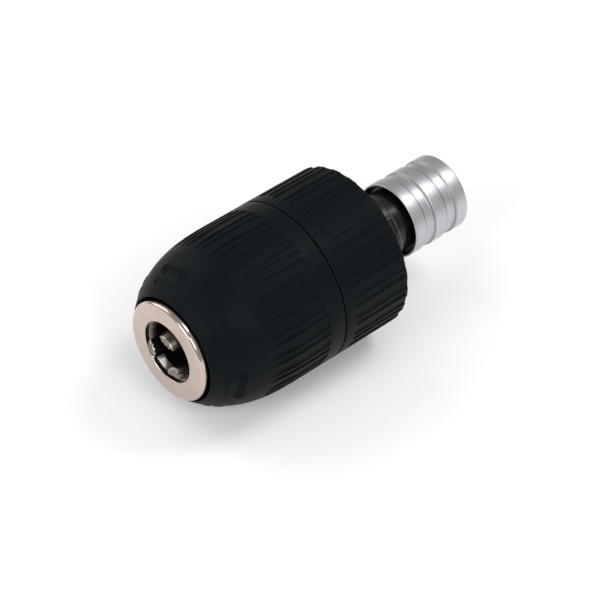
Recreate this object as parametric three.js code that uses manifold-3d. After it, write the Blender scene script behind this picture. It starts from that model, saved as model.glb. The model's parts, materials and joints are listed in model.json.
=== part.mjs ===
// Keyless drill chuck: two plastic sleeves on a steel body, three jaws in slanted bores, a split
// nut on a ball thrust bearing, and a quick-release coupling with a sprung collar at the rear.
// Millimetres, +Z up. The chuck lies on its side: its axis runs along +Y and its nose faces -Y.
// Every piece is drawn in the chuck's own frame, where +Z runs from the nose face to the rear, and
// "station" is the distance behind the nose face. An angle of zero points up on the lying chuck.

import * as THREE from 'three';
import { mergeVertices } from 'three/addons/utils/BufferGeometryUtils.js';
import Module from 'manifold-3d';

const wasm = await Module();
wasm.setup();

// ---- Driving dimensions ----

const LENGTH = 90.1;              // nose face to the collar's rear edge
const SLEEVE_R = 21.6;            // largest radius, at the rear sleeve
const FRONT_SLEEVE_R = 21.55;
const SLEEVE_FACETS = 48;         // flats round a sleeve
const BODY_FACETS = 36;           // flats round the pieces inside it
const SLIM_FACETS = 28;           // flats round the coupling's pieces
const AXIS_HEIGHT = SLEEVE_R * Math.cos(Math.PI / SLEEVE_FACETS);
const FIT = 0.05;                 // gap between pieces fixed to each other
const RUN = 0.1;                  // radial clearance of turning and sliding fits

// Nose ring.
const MOUTH_R = 8.06;
const NOSE_RING_R = 13.1;
const NOSE_RING_FACE = 1.0;       // thickness of the ring's front web
const NOSE_RING_END = 5.2;
const NOSE_RING_ROUND = 0.9;      // radius of its outer edge
const SPIGOT_R = 10.8;

// Front sleeve.
const FRONT_START = 1.63;
const FRONT_END = 37.44;
const MOUTH_EDGE_R = 14.37;
const OGIVE_PULL = [[20.54, 9], [FRONT_SLEEVE_R, 16.4]];  // inner control points of its curve
const OGIVE_END = 26;
const DRUM_R = 18.6;              // body flange and bearing races
const BAND_R = 16.9;

// Rear sleeve.
const REAR_START = 37.8;
const REAR_END = 58;
const REAR_WALL_R = 19.8;
const PRESS_R = 18.5;
const PRESS_START = 51.7;

// Grip pockets round both sleeves.
const POCKETS = 24;
const POCKET_DEPTH = 0.4;
const POCKET_HALF = 1.38;         // half of a pocket's width
const FRONT_PHASE = 5.8;          // degrees from up to the first pocket
const REAR_PHASE = 11.2;

// Jaws.
const JAW_R = 3.0;
const JAW_TILT = THREE.MathUtils.degToRad(14);
const JAW_LENGTH = 35.5;
const JAW_FRONT = -1.1;           // station of the jaw's front face, just proud of the nose ring
const JAW_AXIS_R = 2.56;          // radius of the jaw's axis at its front face
const JAW_EDGE_R = 3.4;           // radius of the gripping land
const JAW_LAND_HALF = 1.1;        // half of the land's width
const JAW_PHASE = 15.5;           // degrees from up to the first jaw
const JAW_ANGLES = [0, 120, 240].map((turn) => JAW_PHASE + turn);

// Body.
const BORE_R = 6.8;
const BODY_FRONT = 1.2;
const BODY_LEAD_END = 2.6;        // rear end of the conical lead into the bore
const NECK_R = 12.6;
const NUT_GROOVE_R = 10.0;
const NUT_START = 17.2;
const NUT_END = 22.95;
const NUT_R = 15.5;
const BARREL_R = 14.85;
const LEDGE = 27.25;
const LEDGE_END = 33;
const REAR_BARREL_R = 16.4;
const BODY_END = 56.5;
const THREAD_R = 6.35;
const THREAD_START = 43.5;

// Thrust bearing.
const RACE_INNER_R = 15.0;
const RACE_THICK = 0.85;
const FRONT_RACE_START = 23.0;
const BALL_COUNT = 12;
const BALL_R = 1.2;
const BALL_PITCH_R = 16.9;
const BALL_STATION = 25.1;
const CAGE_THICK = 1.1;

// Rear coupling.
const HUB_R = 10.1;
const HUB_PAD_R = 10.4;
const HUB_END = 67.2;
const HUB_PAD_TURN = 34;          // degrees from up to the start of the raised pad
const COUPLING_R = 8.15;
const SHOULDER = 73.6;
const GUIDE_R = 7.4;
const GUIDE_END = 89.6;
const STUB_START = 44.65;
const SOCKET_FLATS = 11;
const SOCKET_START = 70;
const SCREW_R = 2.95;
const SCREW_HEAD_R = 4.9;
const CLIP_GROOVE_R = 6.9;
const CLIP_GROOVE_END = 89.15;

// Release collar, its spring and its locking balls.
const COLLAR_START = 72;
const COLLAR_R = 10.1;
const COLLAR_LIP_R = 9.6;
const COLLAR_BORE_R = 7.5;
const COLLAR_CHAMBER_R = 9.0;
const COLLAR_GROOVES = [[75.7, 78.9], [82.8, 86.1]];
const COLLAR_SHOULDER = 80.6;     // the spring pushes here
const COLLAR_LAND_END = 81.8;     // the balls are held in by the land up to here
const COLLAR_RELEASE = [86.3, 87.3];  // the wide part that lets the balls out
const COLLAR_RELEASE_R = 8.45;
const COLLAR_REAR_R = 8.9;
const COLLAR_STOP = 88.2;
const SEAT_R = 8.85;
const SEAT_THICK = 0.55;
const CLIP_R = 8.5;
const CLIP_END = 89.1;
const SPRING_R = 8.2;
const SPRING_WIRE_R = 0.33;
const SPRING_TURNS = 4;
const LOCK_BALL_R = 1.25;
const LOCK_BALL_PATH_R = 6.2;
const LOCK_BALL_STATION = 82.8;
const LOCK_ANGLES = [0, 120, 240];

// ---- Materials ----

function finish(color, roughness, metalness) {
  return new THREE.MeshStandardMaterial({ color, roughness, metalness });
}

const blackPlastic = finish(0x202327, 0.55, 0);
const blackedSteel = finish(0x17181a, 0.3, 0.6);
const nickel = finish(0xc9b9ae, 0.25, 1);
const steel = finish(0x8f8d8a, 0.4, 1);
const hardSteel = finish(0xa9a7a3, 0.25, 1);
const satinAluminium = finish(0xc3c4c6, 0.35, 1);
const brass = finish(0xb08d4f, 0.4, 1);

// ---- Solids ----

// A closed mesh from any three.js geometry, turned right side out.
function solid(geometry) {
  const bare = geometry.clone();
  bare.deleteAttribute('normal');
  bare.deleteAttribute('uv');
  const merged = mergeVertices(bare, 1e-5);
  const points = merged.getAttribute('position').array;
  const kept = [];
  let volume = 0;
  for (let i = 0; i < merged.index.count; i += 3) {
    const [a, b, c] = merged.index.array.slice(i, i + 3);
    if (a === b || b === c || c === a) continue;
    kept.push(a, b, c);
    const [p, q, r] = [a, b, c].map((k) => new THREE.Vector3().fromArray(points, 3 * k));
    volume += p.dot(q.cross(r));
  }
  const triVerts = new Uint32Array(volume > 0 ? kept : kept.reverse());
  const vertProperties = new Float32Array(points);
  return new wasm.Manifold(new wasm.Mesh({ numProp: 3, vertProperties, triVerts }));
}

function toGeometry(manifold) {
  const mesh = manifold.getMesh();
  const geometry = new THREE.BufferGeometry();
  geometry.setAttribute('position', new THREE.BufferAttribute(mesh.vertProperties, 3));
  geometry.setIndex(new THREE.BufferAttribute(mesh.triVerts, 1));
  geometry.computeVertexNormals();
  return geometry;
}

// A profile of [radius, station] points turned about the chuck's axis, with a flat facing down.
function turned(profile, facets = BODY_FACETS) {
  const points = profile.map(([r, s]) => new THREE.Vector2(r, s));
  const geometry = new THREE.LatheGeometry(points, facets, Math.PI / facets);
  return solid(geometry.rotateX(Math.PI / 2));
}

function ring(inner, outer, start, end, facets = BODY_FACETS) {
  return turned([[inner, start], [outer, start], [outer, end], [inner, end], [inner, start]], facets);
}

function rod(radius, start, end, facets = SLIM_FACETS) {
  return turned([[0, start], [radius, start], [radius, end], [0, end]], facets);
}

// A hexagonal bar with two of its flats facing up and down.
function hexBar(flats, start, end) {
  const bar = new THREE.CylinderGeometry(flats / Math.sqrt(3), flats / Math.sqrt(3), end - start, 6);
  bar.rotateX(Math.PI / 2).rotateZ(Math.PI / 6).translate(0, 0, (start + end) / 2);
  return solid(bar);
}

function box(width, height, start, end, x = 0, y = 0) {
  const block = new THREE.BoxGeometry(width, height, end - start);
  return solid(block.translate(x, y, (start + end) / 2));
}

function spun(manifold, degrees) {
  return manifold.rotate([0, 0, degrees]);
}

function joined(manifolds) {
  return manifolds.reduce((sum, next) => sum.add(next));
}

function around(count, phase, make) {
  return Array.from({ length: count }, (_, i) => spun(make(), phase + i * 360 / count));
}

// ---- Sleeves ----

// A round-ended cutter with a flat floor, standing on the upper side of a sleeve.
function pocketCutter(start, end, floorR) {
  const outline = new THREE.Shape();
  outline.moveTo(-POCKET_HALF, start + POCKET_HALF);
  outline.absarc(0, start + POCKET_HALF, POCKET_HALF, Math.PI, 2 * Math.PI);
  outline.absarc(0, end - POCKET_HALF, POCKET_HALF, 0, Math.PI);
  outline.closePath();
  const cutter = new THREE.ExtrudeGeometry(outline, { depth: 3, bevelEnabled: false, curveSegments: 2 });
  return solid(cutter.translate(0, 0, floorR).rotateX(Math.PI / 2));
}

function gripPockets(radius, phase, start, end) {
  return joined(around(POCKETS, phase, () => pocketCutter(start, end, radius - POCKET_DEPTH)));
}

// The front sleeve's outside: a blunt ogive that runs into a straight drum.
function ogive() {
  const corners = [[MOUTH_EDGE_R, FRONT_START], ...OGIVE_PULL, [FRONT_SLEEVE_R, OGIVE_END]];
  const curve = new THREE.CubicBezierCurve(...corners.map(([r, s]) => new THREE.Vector2(r, s)));
  return curve.getPoints(8).map((p) => [p.x, p.y]);
}

function frontSleeve() {
  const lipR = NECK_R + RUN;
  const inside = [
    [DRUM_R + 0.15, FRONT_END],
    [DRUM_R + 0.15, NUT_END],
    [BAND_R + 0.15, NUT_END],
    [BAND_R + 0.15, 14],
    [lipR, 7.2],
    [lipR, NOSE_RING_END + 0.2],
    [13.6, NOSE_RING_END],
    [13.75, FRONT_START],
  ];
  const outside = ogive();
  const profile = [...outside, [FRONT_SLEEVE_R, FRONT_END], ...inside, outside[0]];
  const pockets = gripPockets(FRONT_SLEEVE_R, FRONT_PHASE, 12, 32.7);
  return turned(profile, SLEEVE_FACETS).subtract(pockets);
}

function rearSleeve() {
  const bevel = 0.25;
  const profile = [
    [REAR_WALL_R, REAR_START],
    [SLEEVE_R - bevel, REAR_START],
    [SLEEVE_R, REAR_START + bevel],
    [SLEEVE_R, REAR_END - bevel],
    [SLEEVE_R - bevel, REAR_END],
    [PRESS_R + FIT, REAR_END],
    [PRESS_R + FIT, PRESS_START],
    [REAR_WALL_R, PRESS_START - 1.2],
    [REAR_WALL_R, REAR_START],
  ];
  const pockets = gripPockets(SLEEVE_R, REAR_PHASE, 40.4, REAR_END + 5);
  return turned(profile, SLEEVE_FACETS).subtract(pockets);
}

// ---- Nose ring and body ----

function noseRing() {
  const round = NOSE_RING_ROUND;
  const edge = [0, 30, 60, 90].map((degrees) => {
    const angle = THREE.MathUtils.degToRad(degrees);
    return [NOSE_RING_R - round + round * Math.sin(angle), round - round * Math.cos(angle)];
  });
  return turned([
    [MOUTH_R, 0.2],
    [MOUTH_R + 0.2, 0],
    ...edge,
    [NOSE_RING_R, NOSE_RING_END],
    [SPIGOT_R + FIT, NOSE_RING_END],
    [SPIGOT_R + FIT, NOSE_RING_FACE],
    [MOUTH_R, NOSE_RING_FACE],
    [MOUTH_R, 0.2],
  ]);
}

// Anything drawn about the jaw's own axis, put in its slanted place on the upper side.
function slanted(manifold) {
  const tilt = THREE.MathUtils.radToDeg(JAW_TILT);
  return manifold.rotate([tilt, 0, 0]).translate([0, -JAW_AXIS_R, JAW_FRONT]);
}

function chuckBody() {
  const blank = turned([
    [BORE_R, BODY_LEAD_END],
    [MOUTH_R - 0.15, BODY_FRONT],
    [SPIGOT_R, BODY_FRONT],
    [SPIGOT_R, NOSE_RING_END + FIT],
    [NECK_R, NOSE_RING_END + FIT],
    [NECK_R, NUT_START - 0.3],
    [NUT_GROOVE_R, NUT_START - 0.3],
    [NUT_GROOVE_R, NUT_END + 0.15],
    [BARREL_R, NUT_END + 0.15],
    [BARREL_R, LEDGE],
    [DRUM_R, LEDGE],
    [DRUM_R, LEDGE_END],
    [REAR_BARREL_R, LEDGE_END + 1],
    [REAR_BARREL_R, PRESS_START],
    [PRESS_R, PRESS_START],
    [PRESS_R, BODY_END],
    [THREAD_R + RUN, BODY_END],
    [THREAD_R + RUN, THREAD_START],
    [BORE_R, THREAD_START],
    [BORE_R, BODY_LEAD_END],
  ]);
  const bores = JAW_ANGLES.map((angle) => spun(slanted(rod(JAW_R + RUN, -5, 50.5, 18)), angle));
  return blank.subtract(joined(bores));
}

// ---- Jaws ----

// One jaw on the upper side: a slanted rod with a flat nose, a gripping land and two flanks at
// 120 degrees to each other.
function jaw() {
  const blank = slanted(rod(JAW_R, -2, JAW_LENGTH, 18));
  const flanks = new THREE.Shape();
  const reach = 20;
  const flankEnd = -JAW_EDGE_R - (reach - JAW_LAND_HALF) / Math.tan(Math.PI / 3);
  flanks.moveTo(JAW_LAND_HALF, -JAW_EDGE_R);
  flanks.lineTo(-JAW_LAND_HALF, -JAW_EDGE_R);
  flanks.lineTo(-reach, flankEnd);
  flanks.lineTo(-reach, -3 * reach);
  flanks.lineTo(reach, -3 * reach);
  flanks.lineTo(reach, flankEnd);
  flanks.closePath();
  const keep = new THREE.ExtrudeGeometry(flanks, { depth: 60, bevelEnabled: false });
  return blank.intersect(solid(keep.translate(0, 0, JAW_FRONT)));
}

// ---- Split nut, its band and the thrust bearing ----

// Radius that just clears the jaws' outer sides at a station.
function nutBoreR(station) {
  const jawAxisR = JAW_AXIS_R + (station - JAW_FRONT) * Math.tan(JAW_TILT);
  return jawAxisR + JAW_R / Math.cos(JAW_TILT) + 0.15;
}

function nutHalf(side) {
  const whole = turned([
    [nutBoreR(NUT_START), NUT_START],
    [NUT_R, NUT_START],
    [NUT_R, NUT_END],
    [nutBoreR(NUT_END), NUT_END],
    [nutBoreR(NUT_START), NUT_START],
  ]);
  const splitGap = 0.15;
  return whole.intersect(box(20, 40, NUT_START - 1, NUT_END + 1, side * (10 + splitGap)));
}

function bearingCage() {
  const half = CAGE_THICK / 2;
  const blank = ring(RACE_INNER_R + 0.3, DRUM_R - 0.3, BALL_STATION - half, BALL_STATION + half);
  const hole = () => rod(BALL_R + RUN, BALL_STATION - 1, BALL_STATION + 1, 10)
    .translate([0, -BALL_PITCH_R, 0]);
  return blank.subtract(joined(around(BALL_COUNT, 0, hole)));
}

// ---- Rear coupling ----

function couplingHub() {
  const blank = turned([
    [0, STUB_START],
    [THREAD_R, STUB_START],
    [THREAD_R, BODY_END + FIT],
    [HUB_R, BODY_END + FIT],
    [HUB_R, HUB_END - 0.3],
    [HUB_R - 0.3, HUB_END],
    [COUPLING_R, HUB_END],
    [COUPLING_R, SHOULDER],
    [GUIDE_R, SHOULDER],
    [GUIDE_R, COLLAR_STOP + FIT],
    [CLIP_GROOVE_R, COLLAR_STOP + FIT],
    [CLIP_GROOVE_R, CLIP_GROOVE_END],
    [GUIDE_R, CLIP_GROOVE_END],
    [GUIDE_R, GUIDE_END],
    [0, GUIDE_END],
  ], SLIM_FACETS);
  const padStart = REAR_END + 0.4;
  const padRing = ring(HUB_R - 1, HUB_PAD_R, padStart, HUB_END - 0.5, SLIM_FACETS);
  const padSide = spun(box(20, 40, padStart - 1, HUB_END, 10), HUB_PAD_TURN);
  const tapping = rod(SCREW_R + RUN, STUB_START - 1, HUB_END - 6, 20);
  const socket = hexBar(SOCKET_FLATS, SOCKET_START, GUIDE_END + 1);
  const windows = LOCK_ANGLES.map((angle) => {
    const window = new THREE.CylinderGeometry(LOCK_BALL_R + RUN, LOCK_BALL_R + RUN, 4, 12);
    return spun(solid(window.translate(0, -7, LOCK_BALL_STATION)), angle);
  });
  return blank.add(padRing.intersect(padSide)).subtract(joined([tapping, socket, ...windows]));
}

function retainingScrew() {
  const headFront = STUB_START - 3.15;
  const blank = turned([
    [0, headFront],
    [SCREW_HEAD_R - 0.4, headFront],
    [SCREW_HEAD_R, headFront + 0.4],
    [SCREW_HEAD_R, STUB_START - FIT],
    [SCREW_R, STUB_START - FIT],
    [SCREW_R, HUB_END - 7],
    [0, HUB_END - 7],
  ], 24);
  return blank.subtract(hexBar(4, headFront - 1, headFront + 2));
}

function releaseCollar() {
  const outside = [[COLLAR_R - 0.2, COLLAR_START], [COLLAR_R, COLLAR_START + 0.2]];
  for (const [start, end] of COLLAR_GROOVES) {
    outside.push([COLLAR_R, start], [COLLAR_LIP_R, start], [COLLAR_LIP_R, end], [COLLAR_R, end]);
  }
  return turned([
    [COLLAR_LIP_R, COLLAR_START],
    ...outside,
    [COLLAR_R, LENGTH - 0.4],
    [COLLAR_R - 0.4, LENGTH],
    [COLLAR_REAR_R, LENGTH],
    [COLLAR_REAR_R, COLLAR_STOP],
    [COLLAR_BORE_R, COLLAR_STOP],
    [COLLAR_BORE_R, COLLAR_RELEASE[1] + 0.1],
    [COLLAR_RELEASE_R, COLLAR_RELEASE[1]],
    [COLLAR_RELEASE_R, COLLAR_RELEASE[0]],
    [COLLAR_BORE_R, COLLAR_LAND_END],
    [COLLAR_BORE_R, COLLAR_SHOULDER],
    [COLLAR_CHAMBER_R, COLLAR_SHOULDER],
    [COLLAR_CHAMBER_R, COLLAR_START + 2.3],
    [COLLAR_LIP_R, COLLAR_START + 2.2],
    [COLLAR_LIP_R, COLLAR_START],
  ], SLIM_FACETS);
}

function springSeat() {
  const start = SHOULDER + FIT;
  return ring(GUIDE_R + FIT, SEAT_R, start, start + SEAT_THICK, SLIM_FACETS);
}

class Helix extends THREE.Curve {
  constructor(radius, start, end, turns) {
    super();
    Object.assign(this, { radius, start, end, turns });
  }

  getPoint(t, target = new THREE.Vector3()) {
    const angle = 2 * Math.PI * this.turns * t;
    const station = THREE.MathUtils.lerp(this.start, this.end, t);
    return target.set(this.radius * Math.cos(angle), this.radius * Math.sin(angle), station);
  }
}

function collarSpring() {
  const start = SHOULDER + FIT + SEAT_THICK + SPRING_WIRE_R + FIT;
  const end = COLLAR_SHOULDER - SPRING_WIRE_R - FIT;
  const wire = new THREE.Shape().absarc(0, 0, SPRING_WIRE_R, 0, 2 * Math.PI);
  const path = new Helix(SPRING_R, start, end, SPRING_TURNS);
  const options = { steps: 12 * SPRING_TURNS, extrudePath: path, curveSegments: 3 };
  return solid(new THREE.ExtrudeGeometry(wire, options));
}

function retainingRing() {
  const whole = ring(CLIP_GROOVE_R + FIT, CLIP_R, COLLAR_STOP + 0.1, CLIP_END, SLIM_FACETS);
  return whole.subtract(spun(box(4, 6, COLLAR_STOP - 1, 90, 0, -8), 180));
}

// ---- Assembly ----

const model = new THREE.Group();
const middle = (JAW_FRONT + LENGTH) / 2;
model.rotation.x = -Math.PI / 2;
model.position.set(0, -middle, AXIS_HEIGHT);

function addPiece(name, manifold, material, parent = model) {
  const mesh = new THREE.Mesh(toGeometry(manifold), material);
  mesh.name = name;
  parent.add(mesh);
}

// A ball centred on its own origin, set at an angle, radius and station.
function addBall(name, ballR, angle, pathR, station) {
  const ball = new THREE.Mesh(toGeometry(solid(new THREE.IcosahedronGeometry(ballR, 1))), hardSteel);
  const turn = THREE.MathUtils.degToRad(angle);
  ball.name = name;
  ball.position.set(pathR * Math.sin(turn), -pathR * Math.cos(turn), station);
  model.add(ball);
}

addPiece('nose_ring', noseRing(), nickel);
addPiece('front_sleeve', frontSleeve(), blackPlastic);
addPiece('rear_sleeve', rearSleeve(), blackPlastic);
addPiece('chuck_body', chuckBody(), steel);

JAW_ANGLES.forEach((angle, i) => {
  const place = new THREE.Group();
  place.rotation.z = THREE.MathUtils.degToRad(angle);
  model.add(place);
  addPiece(`jaw_${i + 1}`, jaw(), hardSteel, place);
});

addPiece('nut_half_left', nutHalf(-1), steel);
addPiece('nut_half_right', nutHalf(1), steel);
addPiece('nut_band', ring(NUT_R + FIT, BAND_R, NUT_START, NUT_END), steel);

const race = (start) => ring(RACE_INNER_R, DRUM_R, start, start + RACE_THICK);
addPiece('front_race', race(FRONT_RACE_START), hardSteel);
addPiece('rear_race', race(LEDGE - RACE_THICK - FIT), hardSteel);
addPiece('bearing_cage', bearingCage(), brass);
for (let i = 0; i < BALL_COUNT; i += 1) {
  addBall(`bearing_ball_${i + 1}`, BALL_R, i * 360 / BALL_COUNT, BALL_PITCH_R, BALL_STATION);
}

addPiece('coupling_hub', couplingHub(), blackedSteel);
addPiece('retaining_screw', retainingScrew(), steel);
addPiece('release_collar', releaseCollar(), satinAluminium);
addPiece('spring_seat', springSeat(), steel);
addPiece('collar_spring', collarSpring(), hardSteel);
addPiece('retaining_ring', retainingRing(), steel);
LOCK_ANGLES.forEach((angle, i) => {
  addBall(`locking_ball_${i + 1}`, LOCK_BALL_R, angle, LOCK_BALL_PATH_R, LOCK_BALL_STATION);
});

export default model;
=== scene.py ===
"""A keyless drill chuck: sleeves, jaws, split nut, bearing and quick-release coupling."""

import json
import math
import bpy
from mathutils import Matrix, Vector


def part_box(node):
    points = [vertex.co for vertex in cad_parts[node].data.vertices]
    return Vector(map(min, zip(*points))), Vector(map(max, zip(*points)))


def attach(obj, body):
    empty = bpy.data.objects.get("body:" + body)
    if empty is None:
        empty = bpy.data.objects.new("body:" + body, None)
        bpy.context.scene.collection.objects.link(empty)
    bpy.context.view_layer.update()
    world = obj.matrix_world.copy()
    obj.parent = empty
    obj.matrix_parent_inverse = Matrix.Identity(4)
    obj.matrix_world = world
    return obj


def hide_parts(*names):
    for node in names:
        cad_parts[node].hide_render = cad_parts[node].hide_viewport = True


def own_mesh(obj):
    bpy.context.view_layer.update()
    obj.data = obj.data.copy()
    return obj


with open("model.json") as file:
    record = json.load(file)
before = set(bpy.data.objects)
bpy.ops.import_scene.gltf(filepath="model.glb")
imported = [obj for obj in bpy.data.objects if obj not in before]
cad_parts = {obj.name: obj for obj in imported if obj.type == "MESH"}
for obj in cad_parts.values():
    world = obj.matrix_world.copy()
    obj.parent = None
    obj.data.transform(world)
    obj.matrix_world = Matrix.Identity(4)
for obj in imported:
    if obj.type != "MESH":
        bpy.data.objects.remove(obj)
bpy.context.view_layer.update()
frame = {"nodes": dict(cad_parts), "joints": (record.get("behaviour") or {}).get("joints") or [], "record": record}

from types import SimpleNamespace

import bmesh
import bpy
from mathutils import Matrix, Vector

bl_info = {
    "name": "Drill Chuck",
    "version": (1, 0, 0),
    "blender": (4, 5, 0),
    "location": "3D View > Sidebar > Chuck",
    "description": "Builds a keyless drill chuck piece by piece round its working frame",
    "category": "Add Mesh",
}

MM = 0.001
NOSE_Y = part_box("nose_ring")[0].y
AXIS_Z = (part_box("nose_ring")[0].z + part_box("nose_ring")[1].z) / 2
AXIS = Vector((0, 1, 0))


def node_radius(node):
    """Half of a node's width, in millimetres."""
    low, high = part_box(node)
    return (high.x - low.x) / 2 / MM


def node_span(node):
    """Where a node starts and ends along the chuck, in millimetres behind the nose face."""
    low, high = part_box(node)
    return (low.y - NOSE_Y) / MM, (high.y - NOSE_Y) / MM


FRONT_START, FRONT_END = node_span("front_sleeve")
REAR_START, REAR_END = node_span("rear_sleeve")
COLLAR_START, COLLAR_END = node_span("release_collar")
NUT_START, NUT_END = node_span("nut_band")
RING_END = node_span("nose_ring")[1]
BODY_START, BODY_END = node_span("chuck_body")
JAW_FRONT = node_span("jaw_1")[0]
HUB_START, HUB_END = node_span("coupling_hub")

# Radii and stations that the boxes don't give, in millimetres
MOUTH_R = 8.06           # nose ring's mouth
CONE_END = BODY_START + 1.4
CENTRE_BORE_R = 6.8      # body's bore behind the mouth's cone
SCREW_BORE_R = 6.45      # its narrower rear end, round the screw's head
SCREW_SEAT = 43.5
SLEEVE_CORE_R = 16.4     # body's barrel inside the rear sleeve
CORE_END = 51.7
LEDGE_START, LEDGE_END = 27.25, 33.0
LEDGE_R = 18.6           # bearing ledge
NUT_NECK_R = 10.0
NUT_NECK_END = 23.1
BALL_CIRCLE_R = 16.9
JAW_LONG = 35.5          # jaw's length behind its nose
HUB_R = 10.1
HUB_FLANGE_END = 67.2
NECK_R = 8.15
TAIL_R = 7.4
TAIL_START = 73.6
CLIP_GROOVE = (88.25, 89.15)
PAD_R = 10.4
PAD_TURN = math.radians(38)   # where the hub's raised pad starts, from straight up
PAD_SQUARE = (math.cos(PAD_TURN), 0, -math.sin(PAD_TURN))
PAD_STEP = 65.4          # the station of the step in it
PAD_END = 66.95
COLLAR_LIP_R = 9.6
COLLAR_GROOVES = ((75.7, 78.9), (82.8, 86.1))
LOCK_CIRCLE_R = 6.2
OGIVE_AT_FADE = 20.5     # front sleeve's radius where its pockets run out


# ---- Settings shown in the sidebar ----

def length(name, description, millimetres):
    return bpy.props.FloatProperty(
        name=name, description=description, default=millimetres * MM, min=0.0, precision=5, unit="LENGTH")


def angle(name, description, degrees):
    return bpy.props.FloatProperty(
        name=name, description=description, default=math.radians(degrees), unit="ROTATION")


def colour(name, description, default):
    return bpy.props.FloatVectorProperty(
        name=name, description=description, default=default, subtype="COLOR", size=3, min=0, max=1)


class ChuckSleeveSizes(bpy.types.PropertyGroup):
    pockets: bpy.props.IntProperty(
        name="Pockets", description="Wide grip pockets round each sleeve", default=24, min=3)
    depth: length("Pocket depth", "How deep the grip pockets are", 0.36)
    wide: length("Wide pocket", "Width of the wide pockets", 2.76)
    narrow: length("Narrow pocket", "Width of the narrow pockets", 1.44)
    rim: length("Pocket rim", "Chamfer round each pocket", 0.12)
    knee: length("Pocket knee", "Where the front pockets start to sink towards the nose", 24.0)
    fade: length("Pocket fade", "Where the front pockets run out, behind the nose face", 14.0)
    front_phase: angle("Front phase", "Turn of the front sleeve's first pocket", 5.8)
    rear_phase: angle("Rear phase", "Turn of the rear sleeve's first pocket", 11.2)
    mark_height: length("Mark height", "How far the marks stand proud", 0.16)


class ChuckJawSizes(bpy.types.PropertyGroup):
    tilt: angle("Jaw tilt", "Angle between a jaw and the chuck's axis", 14)
    phase: angle("First jaw", "Turn of the first jaw from straight up", 15.5)
    radius: length("Jaw radius", "Radius of a jaw's round back", 3.0)
    axis_radius: length("Nose radius", "Radius at which a jaw's axis meets its nose", 2.56)
    edge_radius: length("Grip radius", "Radius of the gripping edges", 3.4)
    chamfer: length("Nose chamfer", "Chamfer on the inner edge of a jaw's nose", 0.32)


class ChuckColours(bpy.types.PropertyGroup):
    plastic: colour("Plastic", "Moulded sleeves", (0.0043, 0.0063, 0.0075))
    # Real wear on the sleeves' lands; brightened 2.2 times, the same tint paints the highlight on the pocket rims
    wear_and_highlight: colour("Rubbed plastic", "Sleeve lands polished by hands", (0.0058, 0.0080, 0.0092))
    blacked: colour("Blacked steel", "Hub and neck", (0.0040, 0.0048, 0.0056))
    nickel: colour("Nickel", "Nose ring", (0.57, 0.47, 0.415))
    steel: colour("Turned steel", "Body, nut and screw", (0.36, 0.34, 0.32))
    hard_steel: colour("Ground steel", "Jaws, races and balls", (0.44, 0.415, 0.38))
    aluminium: colour("Aluminium", "Release collar", (0.55, 0.55, 0.575))
    brass: colour("Brass", "Bearing cage", (0.60, 0.41, 0.16))


class ChuckStageSettings(bpy.types.PropertyGroup):
    azimuth: angle("Azimuth", "Camera's turn round the chuck", 47.7)
    elevation: angle("Elevation", "Camera's height above the horizon", 41.4)
    distance: length("Distance", "Camera to the point it looks at", 520.1)
    lens: bpy.props.FloatProperty(
        name="Lens", description="Focal length of the camera", default=133.4, unit="CAMERA")
    floor: colour("Floor", "Pale studio floor", (0.92, 0.92, 0.92))


def settings(name):
    """The values of one group of settings, with lengths in millimetres."""
    group = getattr(bpy.context.scene, name)
    values = {key: getattr(group, key) for key in group.__annotations__}
    for key in values:
        if group.bl_rna.properties[key].unit == "LENGTH":
            values[key] /= MM
    return SimpleNamespace(**values)


# ---- Modelling helpers ----

def station(s):
    """The place along the chuck, in metres, of a station in millimetres."""
    return NOSE_Y + s * MM


def clear_selection():
    if bpy.context.object and bpy.context.object.mode != "OBJECT":
        bpy.ops.object.mode_set(mode="OBJECT")
    bpy.ops.object.select_all(action="DESELECT")


def use(piece):
    """Makes one piece the active and only selected one."""
    clear_selection()
    piece.select_set(True)
    bpy.context.view_layer.objects.active = piece
    return piece


def edit(piece):
    use(piece)
    bpy.ops.object.mode_set(mode="EDIT")
    bpy.ops.mesh.select_all(action="SELECT")


def leave_edit():
    bpy.ops.object.mode_set(mode="OBJECT")


def weld():
    """Merges what lies in the same place."""
    bpy.ops.mesh.select_all(action="SELECT")
    bpy.ops.mesh.remove_doubles(threshold=1e-7)


def face_out():
    """Points every face outwards."""
    bpy.ops.mesh.select_all(action="SELECT")
    bpy.ops.mesh.normals_make_consistent(inside=False)


def extrude(*step):
    bpy.ops.mesh.extrude_region_move(TRANSFORM_OT_translate={"value": step})


def pick(piece, test, kind="VERT"):
    """Selects the vertices or faces of a piece in edit mode that pass a test on their place."""
    bpy.ops.mesh.select_mode(type=kind)
    bpy.ops.mesh.select_all(action="DESELECT")
    shape = bmesh.from_edit_mesh(piece.data)
    items = shape.verts if kind == "VERT" else shape.faces
    for item in items:
        item.select_set(test(item))
    shape.select_flush(kind == "VERT")
    bmesh.update_edit_mesh(piece.data)


def name_piece(piece, name):
    piece.name = name
    piece.data.name = name
    return piece


def place_down(piece):
    """Puts a piece's place, turn and scale into its mesh."""
    use(piece)
    bpy.ops.object.transform_apply(location=True, rotation=True, scale=True)
    return piece


def modify(piece, kind, **settings):
    """Adds a modifier with its settings and applies it."""
    use(piece)
    modifier = piece.modifiers.new(kind.title(), kind)
    for key, value in settings.items():
        setattr(modifier, key, value)
    bpy.ops.object.modifier_apply(modifier=modifier.name)
    return piece


def cut(piece, cutter, operation="DIFFERENCE", keep=False):
    """Cuts a piece with another one, which goes unless it is kept."""
    modify(piece, "BOOLEAN", operation=operation, solver="EXACT", object=cutter)
    if not keep:
        bpy.data.objects.remove(cutter)
    return piece


def copy_of(piece, name):
    twin = piece.copy()
    twin.data = piece.data.copy()
    bpy.context.collection.objects.link(twin)
    return name_piece(twin, name)


def moved(piece, matrix):
    """Moves a piece's mesh by a matrix, leaving its object at the origin."""
    piece.matrix_world = matrix @ piece.matrix_world
    bpy.context.view_layer.update()
    return place_down(piece)


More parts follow.
